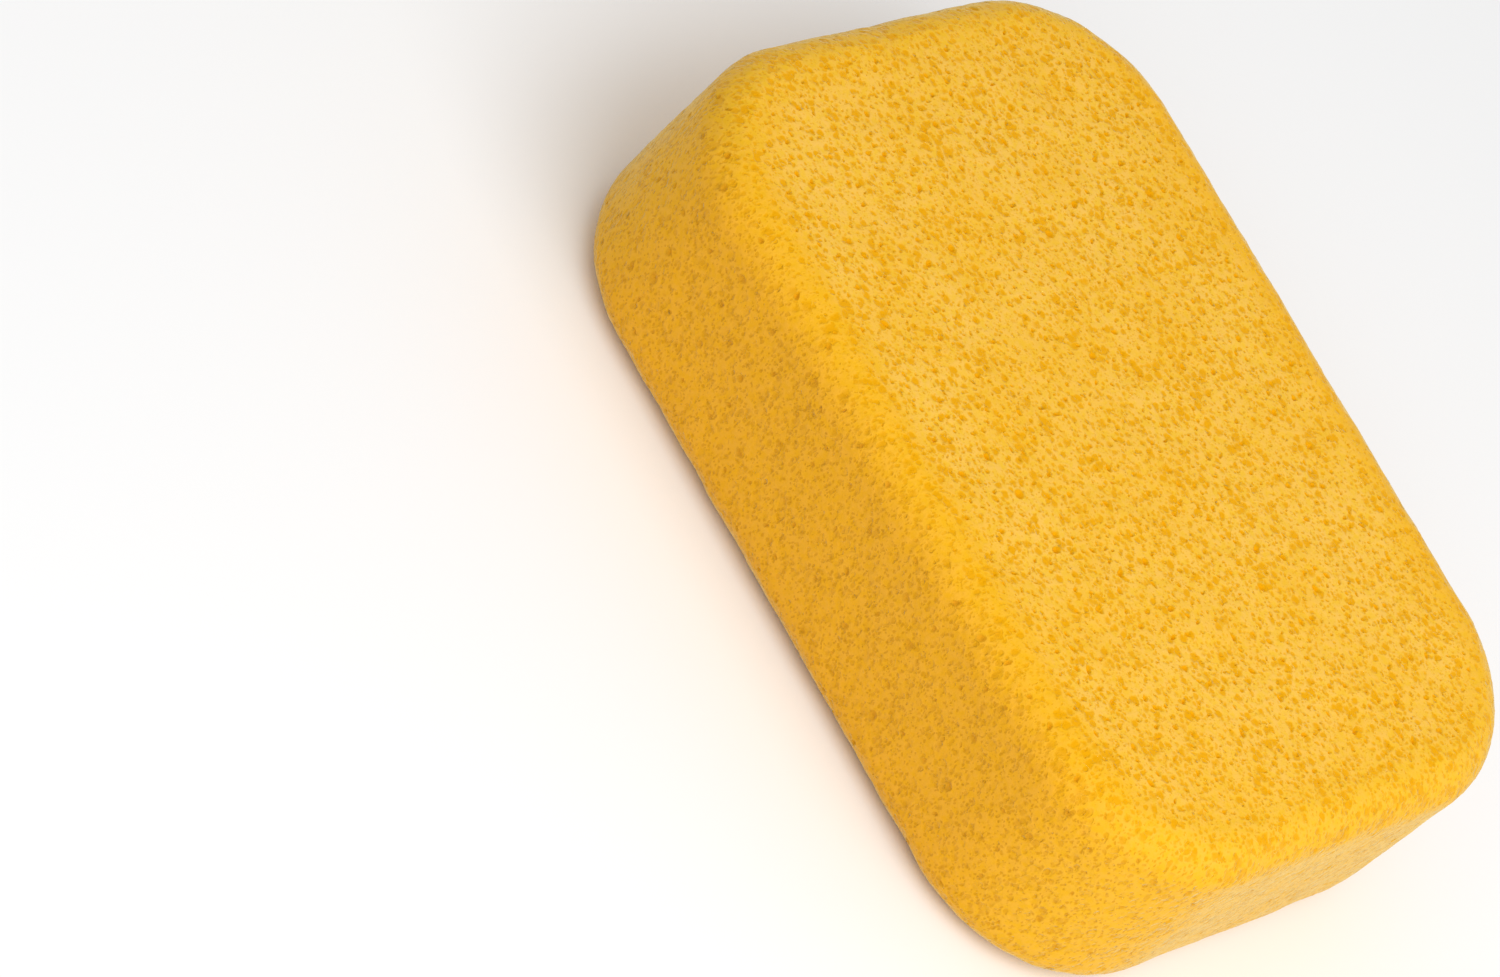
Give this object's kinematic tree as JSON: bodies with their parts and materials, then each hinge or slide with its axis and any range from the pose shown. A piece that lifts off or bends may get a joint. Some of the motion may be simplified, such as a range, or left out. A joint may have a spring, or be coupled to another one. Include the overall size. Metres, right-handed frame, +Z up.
{
  "type": "grout sponge",
  "caption": "Yellow foam sponge block for wiping grout and tile, with rounded corners, rolled edges and open pores.",
  "frame": {"origin": "under the middle of the block, on the surface that it lies on", "axes": "+X along the long side, +Y along the short side, +Z up through the thickness"},
  "size_m": [0.1906, 0.1334, 0.0508],
  "materials": {
    "foam": "matte open-celled foam"
  },
  "bodies": {
    "root": {"sponge": "foam"}
  },
  "joints": []
}
